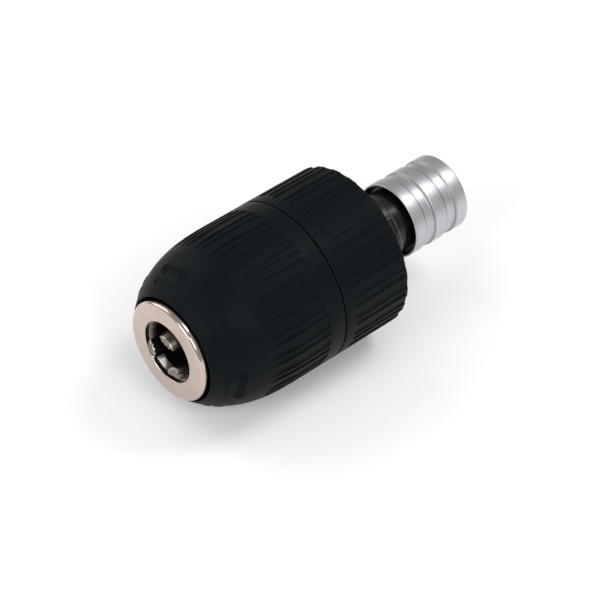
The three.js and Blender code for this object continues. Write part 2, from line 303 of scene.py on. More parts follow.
def about_axis(angle):
    """A turn about the chuck's axis, from straight up towards +X."""
    centre = Vector((0, 0, AXIS_Z))
    turn = Matrix.Rotation(angle, 4, AXIS)
    return Matrix.Translation(centre) @ turn @ Matrix.Translation(-centre)


def merge(pieces, name):
    use(pieces[0])
    for piece in pieces:
        piece.select_set(True)
    bpy.ops.object.join()
    return name_piece(bpy.context.object, name)


def smooth(piece, degrees=32):
    use(piece)
    bpy.ops.object.shade_smooth_by_angle(angle=math.radians(degrees))
    return piece


def rounded(outline, fillet=0.15, steps=3, closed=True):
    """Rounds the corners of an outline of (radius, station) or (radius, station, fillet)."""
    points = []
    count = len(outline)
    for i, corner in enumerate(outline):
        here = Vector(corner[:2])
        size = corner[2] if len(corner) > 2 else fillet
        ends = i in (0, count - 1) and not closed
        before = Vector(outline[i - 1][:2]) - here
        after = Vector(outline[(i + 1) % count][:2]) - here
        angle = before.angle(after, math.pi)
        if ends or size <= 0 or angle > math.radians(176):
            points.append(here)
            continue
        reach = min(size / math.tan(angle / 2), before.length * 0.45, after.length * 0.45)
        start = here + before.normalized() * reach
        end = here + after.normalized() * reach
        for k in range(steps + 1):
            t = k / steps
            points.append((1 - t) ** 2 * start + 2 * t * (1 - t) * here + t * t * end)
    return points


def draw_chain(points):
    """Draws a chain of edges, extruding one point after another, and stays in edit mode."""
    clear_selection()
    bpy.ops.mesh.primitive_plane_add(size=MM, location=points[0])
    piece = bpy.context.object
    place_down(piece)
    edit(piece)
    bpy.ops.mesh.select_mode(type="VERT")
    bpy.ops.mesh.merge(type="CENTER")
    for here, there in zip(points, points[1:]):
        bpy.ops.mesh.extrude_vertices_move(TRANSFORM_OT_translate={"value": there - here})
    return piece


def filled(corners):
    """Draws a closed outline as one face and stays in edit mode."""
    piece = draw_chain(corners + [corners[0]])
    weld()
    bpy.ops.mesh.edge_face_add()
    return piece


def turned(name, outline, steps=160, closed=True, centre=None, axis=AXIS, degrees=32):
    """Spins an outline of (radius, station) points, in millimetres, about the chuck's axis."""
    points = [Vector((0, station(s), AXIS_Z + r * MM)) for r, s in outline]
    if closed:
        points.append(points[0])
    piece = draw_chain(points)
    weld()
    bpy.ops.mesh.spin(steps=steps, angle=2 * math.pi, center=(0, 0, AXIS_Z), axis=axis)
    weld()
    bpy.ops.mesh.dissolve_degenerate(threshold=1e-8)
    face_out()
    leave_edit()
    return smooth(name_piece(piece, name), degrees)


def ring(name, inner, outer, start, end, fillet=0.12, steps=128):
    corners = [(inner, start), (outer, start), (outer, end), (inner, end)]
    return turned(name, rounded(corners, fillet), steps)


def rod(name, radius, start, end, fillet=0.0, steps=48):
    corners = [(0, start), (radius, start), (radius, end), (0, end)]
    return turned(name, rounded(corners, fillet, closed=False), steps, closed=False)


def around(piece, count, phase):
    """Turns a piece by a phase and repeats its mesh round the chuck's axis."""
    moved(piece, about_axis(phase))
    edit(piece)
    turn = 2 * math.pi * (count - 1) / count
    bpy.ops.mesh.spin(steps=count - 1, dupli=True, angle=turn, center=(0, 0, AXIS_Z), axis=AXIS)
    leave_edit()
    return piece


def bezier(corners, steps):
    """Points along a cubic curve through its control corners."""
    a, b, c, d = (Vector(corner) for corner in corners)
    points = []
    for k in range(steps + 1):
        t = k / steps
        u = 1 - t
        points.append(u ** 3 * a + 3 * u * u * t * b + 3 * u * t * t * c + t ** 3 * d)
    return points


def zigzag(start, end, count, peak, root):
    """Alternating root and peak radii between two stations, with a straight slope allowed."""
    points = []
    for k in range(2 * count + 1):
        t = k / (2 * count)
        base = peak if k % 2 else root
        points.append((base[0] + (base[1] - base[0]) * t, start + (end - start) * t))
    return points


def hex_bar(name, flats, start, end):
    """A hexagonal cutter along the chuck's axis with flats facing up and down."""
    clear_selection()
    bpy.ops.mesh.primitive_circle_add(vertices=6, radius=flats / math.sqrt(3) * MM, fill_type="NGON")
    piece = bpy.context.object
    turn = Matrix.Rotation(math.radians(-90), 4, "X") @ Matrix.Rotation(math.radians(30), 4, "Z")
    moved(piece, Matrix.Translation((0, station(start), AXIS_Z)) @ turn)
    edit(piece)
    extrude(0, (end - start) * MM, 0)
    face_out()
    leave_edit()
    return name_piece(piece, name)


# ---- Shader helpers ----

class Value:
    """A shader socket that takes part in sums."""

    def __init__(self, finish, socket):
        self.finish = finish
        self.socket = socket

    def math(self, operation, first, second=None):
        values = {0: first} if second is None else {0: first, 1: second}
        return self.finish.node("ShaderNodeMath", {"operation": operation}, values)

    def __add__(self, other):
        return self.math("ADD", self, other)

    __radd__ = __add__

    def __sub__(self, other):
        return self.math("SUBTRACT", self, other)

    def __rsub__(self, other):
        return self.math("SUBTRACT", other, self)

    def __mul__(self, other):
        return self.math("MULTIPLY", self, other)

    __rmul__ = __mul__


class Finish:
    """A node material with one Principled surface."""

    def __init__(self, name, **constants):
        self.material = bpy.data.materials.new(name)
        self.material.use_nodes = True
        self.tree = self.material.node_tree
        self.surface = self.tree.nodes["Principled BSDF"]
        for key, value in constants.items():
            self.surface.inputs[key.replace("_", " ").title().replace("Ior", "IOR")].default_value = value

    def node(self, kind, settings=None, values=None, output=0):
        """Adds a node, with its settings first and then the values or links of its sockets."""
        node = self.tree.nodes.new(kind)
        for key, value in (settings or {}).items():
            setattr(node, key, value)
        for key, value in (values or {}).items():
            self.feed(node.inputs[key], value)
        return Value(self, node.outputs[output])

    def feed(self, socket, value):
        if isinstance(value, Value):
            self.tree.links.new(value.socket, socket)
        else:
            socket.default_value = value

    def place(self, scale=(1, 1, 1), centred=False):
        """Object coordinates, from the chuck's axis where centred, scaled along each axis."""
        spot = self.node("ShaderNodeTexCoord", output="Object")
        shift = (0, 0, -AXIS_Z) if centred else (0, 0, 0)
        centre = self.node("ShaderNodeMapping", {}, {"Vector": spot, "Location": shift})
        return self.node("ShaderNodeMapping", {}, {"Vector": centre, "Scale": scale})

    def noise(self, scale, vector, detail=3.0, roughness=0.5):
        values = {"Scale": scale, "Vector": vector, "Detail": detail, "Roughness": roughness}
        return self.node("ShaderNodeTexNoise", {}, values, "Fac")

    def ramp(self, value, low, high):
        """Stretches a value from low..high to 0..1 and clamps it."""
        values = {"Value": value, "From Min": low, "From Max": high}
        return self.node("ShaderNodeMapRange", {"clamp": True}, values)

    def mix(self, factor, first, second):
        """Mixes two colours."""
        values = {0: factor, 6: first, 7: second}
        return self.node("ShaderNodeMix", {"data_type": "RGBA"}, values, 2)

    def shades(self, factor, tint, dark, light):
        """Goes from a darker to a lighter shade of a tint."""
        return self.mix(factor, rgba(tint, dark), rgba(tint, light))

    def from_axis(self):
        """Distance from the chuck's axis, in millimetres."""
        flat = self.place((1 / MM, 0, 1 / MM), centred=True)
        return self.node("ShaderNodeVectorMath", {"operation": "LENGTH"}, {0: flat}, "Value")

    def along(self):
        """The station behind the nose face, in millimetres."""
        spot = self.node("ShaderNodeTexCoord", output="Object")
        return (self.node("ShaderNodeSeparateXYZ", {}, {"Vector": spot}, "Y") - NOSE_Y) * (1 / MM)

    def band(self, value, low, high, soft):
        """One between two values and nought outside them, with soft edges."""
        return self.ramp(value, low - soft, low) * (1 - self.ramp(value, high, high + soft))

    def tint(self):
        """What feeds the base colour so far."""
        return Value(self, self.surface.inputs["Base Color"].links[0].from_socket)

    def bump(self, height, distance, strength=1.0):
        values = {"Height": height, "Distance": distance, "Strength": strength}
        self.feed(self.surface.inputs["Normal"], self.node("ShaderNodeBump", {}, values))

    def set(self, name, value):
        self.feed(self.surface.inputs[name], value)


def rgba(values, level=1.0):
    return (*(min(1.0, v * level) for v in values), 1.0)


# ---- Materials ----

def moulded_plastic(colours):
    """Satin black moulding: fine spark texture, hand-polished lands, a painted highlight on the pocket rims and
    painted shade on the pocket walls.
    """
    plastic = Finish("moulded_plastic", specular_ior_level=0.05)
    spot = plastic.place()
    cloud = plastic.noise(95.0, spot, 4.0, 0.6)
    grain = plastic.noise(5200.0, spot, 2.0, 0.6)
    scuffs = plastic.ramp(plastic.noise(900.0, plastic.place((0.35, 1.0, 0.35)), 6.0, 0.7), 0.62, 0.74)
    along = plastic.along()
    front_r, rear_r = node_radius("front_sleeve"), node_radius("rear_sleeve")
    drum = front_r + (rear_r - front_r) * plastic.ramp(along, FRONT_END, REAR_START)
    depth = drum - plastic.from_axis()
    worn = (1 - plastic.ramp(depth, 0.02, 0.12)) * plastic.ramp(cloud, 0.42, 0.68)
    drum_only = plastic.ramp(along, 24.2, 25)
    # Painted highlight: a light line on the pockets' rim chamfers, on the drums only
    painted_rim_highlight = drum_only * (1 - plastic.ramp(along, REAR_END - 0.4, REAR_END - 0.3))
    painted_rim_highlight = painted_rim_highlight * plastic.band(depth, 0.03, 0.13, 0.03)
    # Painted shade: the pocket walls, where shade falls inside the pockets
    painted_wall_shade = drum_only * plastic.band(depth, 0.17, 0.30, 0.03)
    base = plastic.shades(plastic.ramp(cloud, 0.3, 0.7), colours.plastic, 0.88, 1.12)
    handled = plastic.mix(worn * 0.8, base, rgba(colours.wear_and_highlight))
    # Darkens the pocket walls with the painted shade
    shaded = plastic.mix(painted_wall_shade * 0.7, handled, rgba(colours.plastic, 0.3))
    # Lays the painted rim highlight, the rubbed tint brightened 2.2 times, over the base colour
    plastic.set("Base Color", plastic.mix(painted_rim_highlight * 0.6, shaded, rgba(colours.wear_and_highlight, 2.2)))
    plastic.set("Roughness", 0.47 + 0.07 * (cloud - 0.5) - 0.07 * worn + 0.05 * scuffs)
    plastic.bump(grain + 0.6 * scuffs, 0.000035, 0.5)
    return plastic


def blacked_steel(colours):
    """Smooth blackened steel with faint turning lines and painted highlights along the pad's and the flange's
    edges.
    """
    steel = Finish("blacked_steel", specular_ior_level=0.3, metallic=0.0, coat_weight=0.1,
                   coat_roughness=0.15)
    lines = steel.noise(1.0, steel.place((90, 5200, 90)), 3.0, 0.6)
    cloud = steel.noise(260.0, steel.place(), 4.0, 0.6)
    base = steel.shades(steel.ramp(cloud, 0.35, 0.75), colours.blacked, 0.8, 1.5)
    radius = steel.from_axis()
    along = steel.along()
    flat = steel.place((1 / MM, 0, 1 / MM), centred=True)
    dot = {"operation": "DOT_PRODUCT"}
    across = steel.node("ShaderNodeVectorMath", dot, {0: flat, 1: PAD_SQUARE}, "Value")
    # Painted highlights: thin light lines along the pad's step, the flange's rear rim, the pad's rear edge and its
    # end, where the edges catch light
    step = steel.band(along, PAD_STEP - 0.03, PAD_STEP + 0.12, 0.04) * steel.ramp(radius, 10.24, 10.28)
    rim = 0.6 * steel.band(along, HUB_FLANGE_END - 0.2, HUB_FLANGE_END - 0.06, 0.05)
    rim = rim * steel.ramp(radius, 9.7, 9.8)
    rear = 0.8 * steel.band(along, PAD_END - 0.15, PAD_END + 0.01, 0.04)
    rear = rear * steel.ramp(radius, 10.13, 10.17)
    end = steel.band(across, 0.0, 0.12, 0.04) * steel.ramp(radius, 10.14, 10.17)
    end = end * steel.ramp(along, PAD_STEP - 0.1, PAD_STEP)
    wear_and_highlight = steel.ramp(step + rim + rear + end, 0.0, 1.0)
    # Lays the painted edge highlights, a light grey, over the black
    steel.set("Base Color", steel.mix(wear_and_highlight, base, (0.17, 0.175, 0.18, 1)))
    steel.set("Roughness", 0.2 + 0.1 * cloud + 0.05 * lines)
    steel.bump(lines, 0.000012, 0.4)
    return steel


def satin_nickel(colours):
    """Warm nickel: a finely lapped face, polished edges and a soft tarnish."""
    nickel = Finish("satin_nickel", metallic=1.0)
    radius = nickel.from_axis()
    lap = nickel.node("ShaderNodeCombineXYZ", {}, {"X": radius * 14.0, "Y": 0.0})
    lines = nickel.noise(1.0, lap, 4.0, 0.7)
    cloud = nickel.noise(170.0, nickel.place(), 5.0, 0.6)
    specks = nickel.ramp(nickel.noise(1500.0, nickel.place(), 3.0, 0.6), 0.66, 0.74)
    outer = node_radius("nose_ring")
    polished = nickel.ramp(radius, outer - 1.0, outer - 0.8) + (1 - nickel.ramp(radius, 8.2, 8.35))
    base = nickel.shades(nickel.ramp(cloud, 0.3, 0.75), colours.nickel, 1.0, 0.88)
    nickel.set("Base Color", nickel.mix(specks * 0.25, base, rgba(colours.nickel, 0.6)))
    nickel.set("Roughness", 0.30 + 0.08 * cloud + 0.05 * lines + 0.08 * specks - 0.2 * polished)
    nickel.bump(lines + 0.5 * specks, 0.000008, 0.3)
    return nickel


def turned_metal(name, tint, roughness, depth):
    """Bare metal with the fine rings that a lathe tool leaves along the axis."""
    metal = Finish(name, metallic=1.0)
    rings = metal.noise(1.0, metal.place((60, 6200, 60)), 3.0, 0.65)
    broad = metal.noise(1.0, metal.place((30, 900, 30)), 3.0, 0.5)
    cloud = metal.noise(230.0, metal.place(), 4.0, 0.6)
    shade = metal.ramp(0.6 * broad + 0.4 * cloud, 0.3, 0.7)
    metal.set("Base Color", metal.shades(shade, tint, 0.86, 1.06))
    metal.set("Roughness", roughness + 0.10 * (cloud - 0.5) + 0.08 * (rings - 0.5))
    metal.bump(rings + 0.7 * broad, depth, 0.45)
    return metal


def satin_aluminium(colours):
    """Satin turned aluminium, with painted shade darkening the inside and painted shade lines in the grooves'
    creases.
    """
    metal = turned_metal("satin_aluminium", colours.aluminium, 0.42, 0.000014)
    radius = metal.from_axis()
    # Painted shade: the bore and the lip's inside are painted near black and not metallic, where no light reaches
    bore = 1 - metal.ramp(radius, 9.25, 9.4)
    lip = (1 - metal.ramp(radius, 9.63, 9.7)) * (1 - metal.ramp(metal.along(), 74.9, 75.2))
    dark = metal.ramp(bore + lip, 0.0, 1.0)
    # Painted shade: dark lines behind the collar's front edge and in the grooves' front and rear creases
    painted_crease_shade = 0.45 * metal.band(metal.along(), COLLAR_START + 0.42, COLLAR_START + 0.5, 0.08)
    for start, end in COLLAR_GROOVES:
        painted_crease_shade = painted_crease_shade + 0.8 * metal.band(metal.along(), start + 0.1, start + 0.5, 0.12)
        painted_crease_shade = painted_crease_shade + 0.4 * metal.band(metal.along(), end - 0.15, end + 0.1, 0.15)
    with_crease_shade = metal.mix(painted_crease_shade, metal.tint(), rgba(colours.aluminium, 0.22))
    metal.set("Base Color", metal.mix(dark, with_crease_shade, (0.004, 0.004, 0.004, 1)))
    metal.set("Metallic", 1 - dark)
    return metal


def turned_steel(colours):
    """Turned steel, with painted shade darkening the mouth's cone and painting the bore and the coupling's inside
    black where no light reaches.
    """
    metal = turned_metal("turned_steel", colours.steel, 0.30, 0.000016)
    radius = metal.from_axis()
    along = metal.along()
    cone = (1 - metal.ramp(radius, 7.7, 7.9)) * (1 - metal.ramp(along, CONE_END, CONE_END + 0.1))
    # Painted shade: the bore behind the cone and the inside of the coupling are painted near black and not
    # metallic
    bore = (1 - metal.ramp(radius, 8.0, 9.0)) * metal.band(along, CONE_END + 0.1, 43, 0.1)
    coupling = metal.band(radius, 6.5, 9.0, 0.3) * metal.ramp(along, 60, 61)
    dark = metal.ramp(bore + coupling, 0.0, 1.0)
    # Painted shade: the mouth's cone is darkened to a third of the steel's tint
    cone_shaded = metal.mix(cone, metal.tint(), rgba(colours.steel, 0.3))
    metal.set("Base Color", metal.mix(dark, cone_shaded, (0.004, 0.0035, 0.003, 1)))
    metal.set("Metallic", 1 - dark)
    metal.set("Roughness", 0.30 - 0.14 * cone)
    return metal


def ground_steel(colours):
    """Ground steel with fine scratches; the jaws' noses are dull, and their sides inside the mouth carry a painted
    brownish shade.
    """
    steel = Finish("ground_steel", metallic=1.0)
    grind = steel.noise(1.0, steel.place((4200, 500, 900)), 3.0, 0.6)
    cloud = steel.noise(420.0, steel.place(), 4.0, 0.6)
    blotch = steel.ramp(steel.noise(1300.0, steel.place(), 4.0, 0.7), 0.35, 0.7)
    along = steel.along()
    nose = 1 - steel.ramp(along, JAW_FRONT + 0.02, JAW_FRONT + 0.05)
    # Painted shade: the jaws' sides behind the nose, inside the mouth, are painted a dark brown
    side = steel.band(along, JAW_FRONT + 0.45, 22, 0.3) * (1 - steel.ramp(steel.from_axis(), 9.0, 10.0))
    shade = 0.6 * steel.ramp(cloud, 0.3, 0.7) + 0.4 * blotch
    base = steel.shades(shade, colours.hard_steel, 0.8, 1.1)
    dull = steel.shades(blotch, colours.hard_steel, 0.36, 0.62)
    painted_side_shade = steel.mix(blotch, (0.065, 0.052, 0.038, 1), (0.13, 0.105, 0.080, 1))
    steel.set("Base Color", steel.mix(nose, steel.mix(side, base, painted_side_shade), dull))
    steel.set("Roughness", 0.24 + 0.12 * cloud + 0.06 * grind + 0.16 * nose)
    steel.bump(grind, 0.000010, 0.4)
    return steel


def stamped_brass(colours):
    """Stamped brass, slightly dulled."""
    brass = Finish("stamped_brass", metallic=1.0)
    cloud = brass.noise(380.0, brass.place(), 4.0, 0.6)
    grain = brass.noise(3600.0, brass.place(), 2.0, 0.6)
    brass.set("Base Color", brass.shades(brass.ramp(cloud, 0.3, 0.7), colours.brass, 0.75, 1.1))
    brass.set("Roughness", 0.34 + 0.15 * (cloud - 0.5))
    brass.bump(grain, 0.000012, 0.4)
    return brass


SLOT_FINISHES = {
    "black_plastic": moulded_plastic,
    "blacked_steel": blacked_steel,
    "nickel": satin_nickel,
    "satin_aluminium": satin_aluminium,
    "body_steel": turned_steel,
    "hard_steel": ground_steel,
    "cage_brass": stamped_brass,
}
MADE = {}


def finish(slot):
    """A slot's material, made once."""
    if slot not in MADE:
        MADE[slot] = SLOT_FINISHES[slot](bpy.context.scene.chuck_colours).material
    return MADE[slot]


def finish_piece(piece, body, node):
    """Rides a piece on its body, lets it stand for its node and gives it its slot's finish."""
    slot = next(row["material_slot"] for row in frame["record"]["subparts"] if row["node"] == node)
    piece.data.materials.clear()
    piece.data.materials.append(finish(slot))
    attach(piece, body)
    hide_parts(node)
    return piece


def floor_paper(tint):
    """Plain pale paper."""
    paper = Finish("floor_paper", roughness=0.9, specular_ior_level=0.1, emission_color=(1, 1, 1, 1),
                   emission_strength=0.06)
    fibre = paper.noise(60.0, paper.place(), 4.0, 0.6)
    paper.set("Base Color", paper.shades(fibre, tint, 0.99, 1.01))
    return paper


# ---- Sleeves ----

def pocket_cutter(start, end, width, sleeve_r, sink=0.0):
    """A round-ended pocket cutter on the upper side: flat floor, upright wall and flared rim.

    Its floor sinks by a slope in front of the knee, to follow the ogive.
    """
    sizes = settings("chuck_sleeves")
    half = width / 2
    floor = sleeve_r - sizes.depth
    rim = math.sqrt(sleeve_r ** 2 - half ** 2)
    clear_selection()
    bpy.ops.mesh.primitive_circle_add(
        vertices=24, radius=half * MM, fill_type="NGON",
        location=(0, station(start + half), AXIS_Z + floor * MM))
    cutter = place_down(bpy.context.object)
    edit(cutter)
    pick(cutter, lambda vert: vert.co.y > station(start + half) + 1e-7)
    bpy.ops.transform.translate(value=(0, (end - start - width) * MM, 0))
    bpy.ops.mesh.select_all(action="SELECT")
    bpy.ops.mesh.select_mode(type="FACE")
    middle = Vector((0, station((start + end) / 2), AXIS_Z))
    flare = 2 * sizes.rim
    long = end - start
    for rise, widen in ((rim - floor - sizes.rim, 0), (flare, flare), (1.5, 0)):
        extrude(0, 0, rise * MM)
        if widen:
            grow = ((half + widen) / half, (long / 2 + widen) / (long / 2), 1)
            bpy.ops.transform.resize(value=grow, center_override=middle)
    face_out()
    if sink:
        bpy.ops.mesh.bisect(plane_co=(0, station(sizes.knee), 0), plane_no=(0, 1, 0))
        low = AXIS_Z + (floor + 0.01) * MM
        pick(cutter, lambda vert: vert.co.z < low and vert.co.y < station(sizes.knee - 1))
        bpy.ops.transform.translate(value=(0, 0, -sink * (sizes.knee - start - half) * MM))
    pick(cutter, lambda face: face.normal.z < -0.9, "FACE")
    bpy.ops.mesh.bevel(offset=0.12 * MM, segments=2, affect="EDGES")
    leave_edit()
    return cutter


def cut_pockets(sleeve, sleeve_r, phase, wide, narrow, sink=0.0):
    """Cuts the wide and the narrow pockets round a sleeve."""
    sizes = settings("chuck_sleeves")
    pitch = 2 * math.pi / sizes.pockets
    for span, width, turn in ((wide, sizes.wide, 0), (narrow, sizes.narrow, pitch / 2)):
        cutter = pocket_cutter(*span, width, sleeve_r, sink)
        around(cutter, sizes.pockets, phase + turn)
        cut(sleeve, cutter)
    return smooth(sleeve, 28)


def front_outline():
    """The front sleeve's outline: mouth lip, ogive, drum and stepped inside."""
    sleeve_r = node_radius("front_sleeve")
    lip, lip_start = 14.15, FRONT_START + 0.12
    drum = 26
    ogive = bezier([(lip, lip_start), (20.54, 9.0), (sleeve_r, 16.4), (sleeve_r, drum)], 34)
    neck, seat = 12.7, 13.6
    race = node_radius("front_race") + 0.15
    band = node_radius("nut_band") + 0.15
    inside = rounded([
        (sleeve_r, drum + 4, 0), (sleeve_r, FRONT_END, 0.28), (race, FRONT_END, 0.25),
        (race, NUT_END, 0.1), (band, NUT_END, 0.2), (band, 14, 0.8), (neck, 7.2, 0.2),
        (neck, RING_END + 0.2, 0.2), (seat, RING_END, 0.3), (seat + 0.12, FRONT_START, 0.18),
        (lip, lip_start, 0)], closed=False)
    return [tuple(p) for p in ogive[1:]] + [tuple(p) for p in inside[1:-1]] + [tuple(ogive[0])]


def build_front_sleeve():
    sizes = settings("chuck_sleeves")
    sleeve = turned("front_sleeve_shell", front_outline(), 288)
    sleeve_r = node_radius("front_sleeve")
    starts = sizes.fade - 2.5
    ends = FRONT_END - 4.74
    drop = sleeve_r - sizes.depth - OGIVE_AT_FADE
    cut_pockets(sleeve, sleeve_r, sizes.front_phase, (starts, ends), (starts, ends + 0.05),
                sink=drop / (sizes.knee - sizes.fade))
    return finish_piece(sleeve, "front_sleeve_group", "front_sleeve")


def build_rear_sleeve():
    """The rear sleeve, whose wide pockets run out through its rear edge."""
    sizes = settings("chuck_sleeves")
    sleeve_r = node_radius("rear_sleeve")
    press, wall = 18.55, 19.8
    outline = rounded([
        (wall, REAR_START, 0.25), (sleeve_r, REAR_START, 0.28), (sleeve_r, REAR_END, 0.34),
        (press, REAR_END, 0.3), (press, CORE_END, 0.2), (wall, CORE_END - 1.2, 0.5)], steps=4)
    sleeve = turned("rear_sleeve_shell", outline, 288)
    starts = REAR_START + 2.6
    wide, narrow = (starts, REAR_END + 4), (starts + 0.5, REAR_END - 0.9)
    cut_pockets(sleeve, sleeve_r, sizes.rear_phase, wide, narrow)
    return finish_piece(sleeve, "frame", "rear_sleeve")


# ---- Marks on the front sleeve ----

LINE = 0.26      # width of the marks' lines


def flat_shape(points, height=30.0):
    """A flat outline of (across, station) points above the sleeve, filled as one face."""
    corners = [Vector((x * MM, station(s), AXIS_Z + height * MM)) for x, s in points]
    piece = filled(corners)
    bpy.ops.mesh.normals_make_consistent(inside=False)
    leave_edit()
    return piece


def bar(x0, s0, x1, s1, width):
    """A straight bar between two points, cut into short lengths so that it can lie on a curve."""
    start = Vector((x0, s0))
    along = Vector((x1, s1)) - start
    side = Vector((-along.y, along.x)).normalized() * width / 2
    cuts = max(1, round(along.length / 0.35))
    there = [start + along * k / cuts for k in range(cuts + 1)]
    pieces = []
    for near, far in zip(there, there[1:]):
        pieces.append(flat_shape([near + side, near - side, far - side, far + side]))
    return pieces


def arc_band(x, s, radius, width, start=0.0, end=2 * math.pi, steps=20):
    """A flat band that follows an arc."""
    pieces = []
    for k in range(steps):
        corners = []
        for angle, reach in ((k, 0), (k, 1), (k + 1, 1), (k + 1, 0)):
            turn = start + (end - start) * angle / steps
            here = radius - width / 2 + reach * width
            corners.append((x + here * math.cos(turn), s + here * math.sin(turn)))
        pieces.append(flat_shape(corners))
    return pieces


def chuck_symbol(x, s, opening):
    """A ring with three jaws in it, drawn open or closed."""
    pieces = arc_band(x, s, 1.12, LINE)
    for k in range(3):
        turn = math.radians(90 + 120 * k)
        near, far = opening, opening + 0.52
        ends = [(x + r * math.cos(turn), s + r * math.sin(turn)) for r in (near, far)]
        pieces += bar(*ends[0], *ends[1], 0.34)
    return pieces


def mark_group(name, direction):
    """An arrow over an open and a closed chuck symbol with three chevrons between them."""
    shaft, row, barb, rise = 4.9, 7.75, 0.55, 0.8
    pieces = bar(-4.6, shaft, 4.6, shaft, LINE)
    tip = 4.95 * direction
    back = 4.0 * direction
    pieces += bar(tip, shaft, back, shaft - barb, LINE) + bar(tip, shaft, back, shaft + barb, LINE)
    opening = 0.36 if direction > 0 else 0.12
    pieces += chuck_symbol(-3.3, row, opening)
    pieces += chuck_symbol(3.3, row, 0.48 - opening)
    half = 0.32 * direction
    for k in (-1, 0, 1):
        x = 1.05 * k
        pieces += bar(x - half, row - rise, x + half, row, LINE)
        pieces += bar(x - half, row + rise, x + half, row, LINE)
    return merge(pieces, name)


def build_marks():
    sizes = settings("chuck_sleeves")
    sleeve = bpy.data.objects["front_sleeve_shell"]
    root = 0.04 * MM
    groups = []
    for k, direction in enumerate((1, -1)):
        group = mark_group(f"mark_group_{k}", direction)
        edit(group)
        bpy.ops.mesh.remove_doubles(threshold=1e-6)
        pick(group, lambda face: face.normal.z < 0, "FACE")
        bpy.ops.mesh.flip_normals()
        leave_edit()
        modify(group, "SHRINKWRAP", target=sleeve, wrap_method="PROJECT", use_project_z=True,
               use_negative_direction=True, use_positive_direction=False, offset=-root)
        modify(group, "SOLIDIFY", thickness=sizes.mark_height * MM + root, offset=1.0)
        around(group, 3, math.radians(42 + 60 * k))
        groups.append(group)
    marks = merge(groups, "front_sleeve_marks")
    smooth(marks, 30)
    marks.data.materials.clear()
    marks.data.materials.append(finish("black_plastic"))
    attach(marks, "front_sleeve_group")
    return marks


# ---- Nose ring, body and jaws ----

def build_nose_ring():
    outer = node_radius("nose_ring")
    spigot = 10.85
    web = BODY_START - 0.2
    outline = rounded([
        (MOUTH_R, 0, 0.4), (outer, 0, 0.9), (outer, RING_END, 0.3), (spigot, RING_END, 0.25),
        (spigot, web, 0.15), (MOUTH_R, web, 0.1)], steps=7)
    piece = turned("nose_ring_cap", outline, 224)
    return finish_piece(piece, "frame", "nose_ring")


def slanted():
    """Moves a shape drawn about the chuck's axis to the upper jaw's slanted axis."""
    sizes = settings("chuck_jaws")
    nose = Vector((0, station(0), AXIS_Z))
    front = Vector((0, station(JAW_FRONT), AXIS_Z + sizes.axis_radius * MM))
    turn = Matrix.Rotation(sizes.tilt, 4, "X")
    return Matrix.Translation(front) @ turn @ Matrix.Translation(-nose)


def build_body():
    rim = RING_END + 0.05
    groove = NUT_START - 0.3
    spigot, nose, race_seat, press = 10.8, 12.6, 14.85, 18.5
    outline = rounded([
        (CENTRE_BORE_R, CONE_END, 0.4), (MOUTH_R - 0.21, BODY_START, 0.15), (spigot, BODY_START, 0.3),
        (spigot, rim, 0.2), (nose, rim, 0.4), (nose, groove, 0.3), (NUT_NECK_R, groove, 0.4),
        (NUT_NECK_R, NUT_NECK_END, 0.4), (race_seat, NUT_NECK_END, 0.3), (race_seat, LEDGE_START, 0.15),
        (LEDGE_R, LEDGE_START, 0.3), (LEDGE_R, LEDGE_END, 0.4), (SLEEVE_CORE_R, LEDGE_END + 1, 0.5),
        (SLEEVE_CORE_R, CORE_END, 0.5), (press, CORE_END, 0.4), (press, BODY_END, 0.5),
        (SCREW_BORE_R, BODY_END, 0.4), (SCREW_BORE_R, SCREW_SEAT, 0.1),
        (CENTRE_BORE_R, SCREW_SEAT, 0.1)], steps=4)
    body = turned("chuck_body_core", outline, 192)
    sizes = settings("chuck_jaws")
    for k in range(3):
        bore = moved(rod("bore_cut", sizes.radius + 0.1, -5, 50.5, steps=48), slanted())
        cut(body, moved(bore, about_axis(sizes.phase + k * 2 * math.pi / 3)))
    smooth(body, 30)
    return finish_piece(body, "frame", "chuck_body")


def grip_cutter():
    """What is ground off a jaw's inner side: the gripping teeth, two flanks and a chamfered nose."""
    sizes = settings("chuck_jaws")
    slope = 1 / math.tan(math.pi / 3)
    grip = sizes.edge_radius
    flank, flank_r, far = 2.45, grip + 0.82, 12
    right = [(0.62, grip + 0.46), (1.25, grip + 0.12), (1.85, grip + 0.86), (flank, flank_r),
             (far, flank_r + (far - flank) * slope)]
    left = [(-x, r) for x, r in reversed(right)]
    profile = left + [(0, grip)] + right + [(far, -20), (-far, -20)]
    lead = JAW_FRONT + sizes.chamfer
    corners = [Vector((x * MM, station(lead), AXIS_Z + r * MM)) for x, r in profile]
    piece = filled(corners)
    extrude(0, 80 * MM, 0)
    face_out()
    pick(piece, lambda face: face.normal.y < -0.9, "FACE")
    extrude(0, -MM, MM)
    leave_edit()
    return piece


